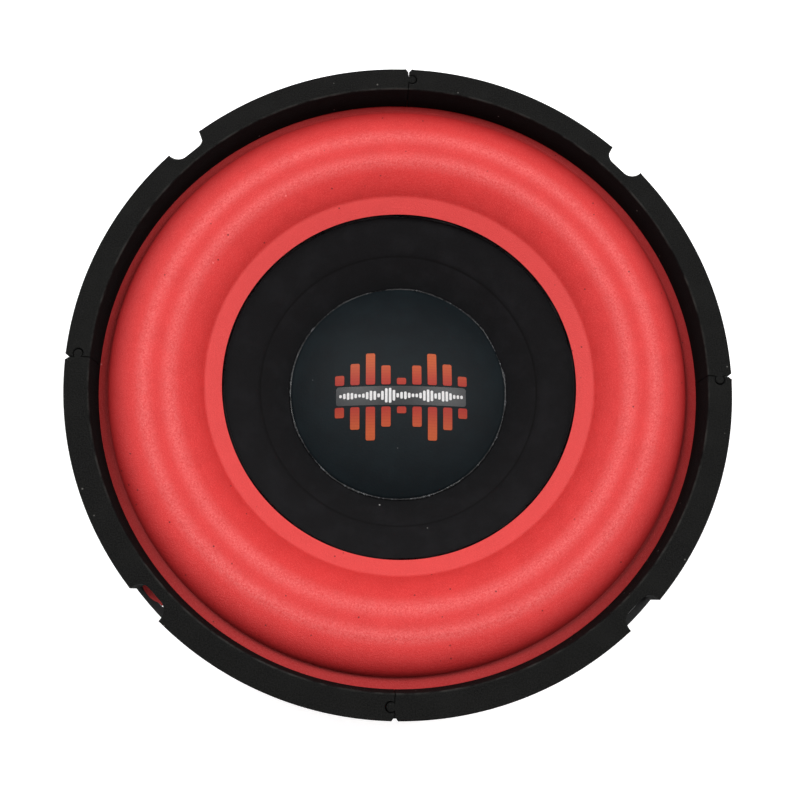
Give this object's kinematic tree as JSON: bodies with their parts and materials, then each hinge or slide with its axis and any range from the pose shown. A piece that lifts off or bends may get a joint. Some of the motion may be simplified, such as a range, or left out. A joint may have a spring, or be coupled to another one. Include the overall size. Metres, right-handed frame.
{
  "type": "subwoofer driver",
  "caption": "Round car subwoofer driver with a red half-roll foam surround, black paper cone, domed dust cap, stamped steel frame and ferrite motor.",
  "frame": {"origin": "centre of the back plate's rear face, which the driver stands on", "axes": "+Z along the speaker's axis, out of the front; -Y towards the terminals; the gasket seams lie on X and Y and the mounting slots on the diagonals"},
  "size_m": [0.26, 0.26, 0.128],
  "materials": {
    "gasket": "closed-cell foam, satin",
    "surround_foam": "red moulded foam, satin",
    "cone_paper": "black pressed paper, matte",
    "dust_cap": "dark blue-grey satin",
    "emblem_print": "orange-red print with pale bars",
    "frame_steel": "black satin enamel",
    "plated_steel": "bright zinc plate",
    "screw_zinc": "zinc plate",
    "ferrite": "sintered ferrite, matte",
    "spider_cloth": "resin-dipped woven cloth",
    "former_film": "thin rolled sheet",
    "collar_card": "brown kraft card",
    "coil_copper": "enamelled copper wire",
    "contact_brass": "bare brass",
    "lead_braid": "braided tinsel wire",
    "button_red": "red moulded plastic",
    "button_black": "black moulded plastic",
    "block_black": "black moulded plastic, fine grain",
    "adhesive_black": "black adhesive",
    "vent_mesh": "dark woven wire",
    "spring_wire": "bright spring wire"
  },
  "bodies": {
    "frame": {"basket": "frame_steel", "surround": "surround_foam", "spider": "spider_cloth", "t_yoke": "plated_steel", "vent_screen": "vent_mesh", "magnet": "ferrite", "top_plate": "plated_steel", "terminal_block": "block_black", "gasket_segment_1": "gasket", "frame_screw_1": "screw_zinc", "gasket_segment_2": "gasket", "frame_screw_2": "screw_zinc", "gasket_segment_3": "gasket", "frame_screw_3": "screw_zinc", "gasket_segment_4": "gasket", "frame_screw_4": "screw_zinc", "terminal_rivet_1": "plated_steel", "terminal_rivet_2": "plated_steel", "button_spring_positive": "spring_wire", "contact_strip_positive": "contact_brass", "tinsel_lead_positive": "lead_braid", "button_spring_negative": "spring_wire", "contact_strip_negative": "contact_brass", "tinsel_lead_negative": "lead_braid"},
    "cone_assembly": {"cone": "cone_paper", "dust_cap": "dust_cap", "emblem": "emblem_print", "voice_coil_former": "former_film", "former_collar": "collar_card", "voice_coil_winding": "coil_copper", "lead_joint_positive": "adhesive_black", "lead_joint_negative": "adhesive_black"},
    "positive_button": {"push_button_positive": "button_red"},
    "negative_button": {"push_button_negative": "button_black"}
  },
  "joints": [
    {"name": "cone_travel", "type": "slide", "parent": "frame", "child": "cone_assembly", "axis": [0, 0, 1], "range_m": [-0.008, 0.008], "stiffness_N_per_m": 3000, "deforming": ["surround", "spider", "tinsel_lead_positive", "tinsel_lead_negative"]},
    {"name": "positive_button_press", "type": "slide", "parent": "frame", "child": "positive_button", "axis": [0, 0, 1], "range_m": [0, 0.0035], "stiffness_N_per_m": 400, "deforming": ["button_spring_positive"]},
    {"name": "negative_button_press", "type": "slide", "parent": "frame", "child": "negative_button", "axis": [0, 0, 1], "range_m": [0, 0.0035], "stiffness_N_per_m": 400, "deforming": ["button_spring_negative"]}
  ]
}
